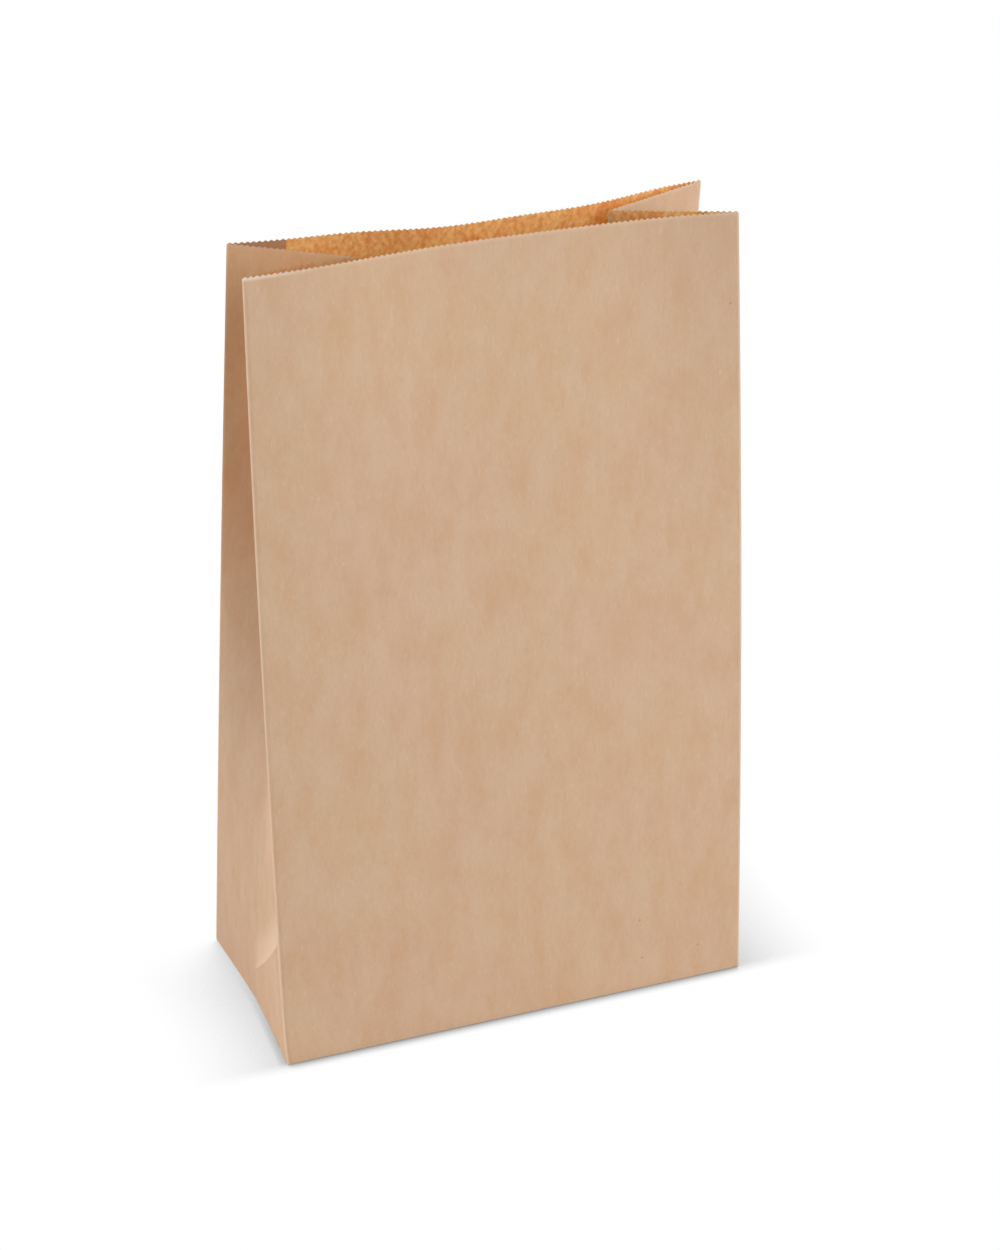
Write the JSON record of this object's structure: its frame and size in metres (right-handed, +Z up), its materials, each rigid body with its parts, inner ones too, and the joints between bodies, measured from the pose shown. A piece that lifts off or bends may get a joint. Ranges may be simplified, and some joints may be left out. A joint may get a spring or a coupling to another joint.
{
  "type": "paper bag",
  "caption": "Plain brown kraft paper bag with a folded block bottom, creased side gussets and a toothed open mouth, for carrying or packing goods.",
  "frame": {"origin": "middle of the base, on the surface the bag stands on", "axes": "+Z up to the mouth, +X along the wide panels, -Y towards the front panel"},
  "size_m": [0.2229, 0.1102, 0.3587],
  "materials": {
    "kraft_paper": "matt brown kraft, smooth outside and rougher inside"
  },
  "bodies": {
    "root": {"paper_bag": "kraft_paper"}
  },
  "joints": []
}
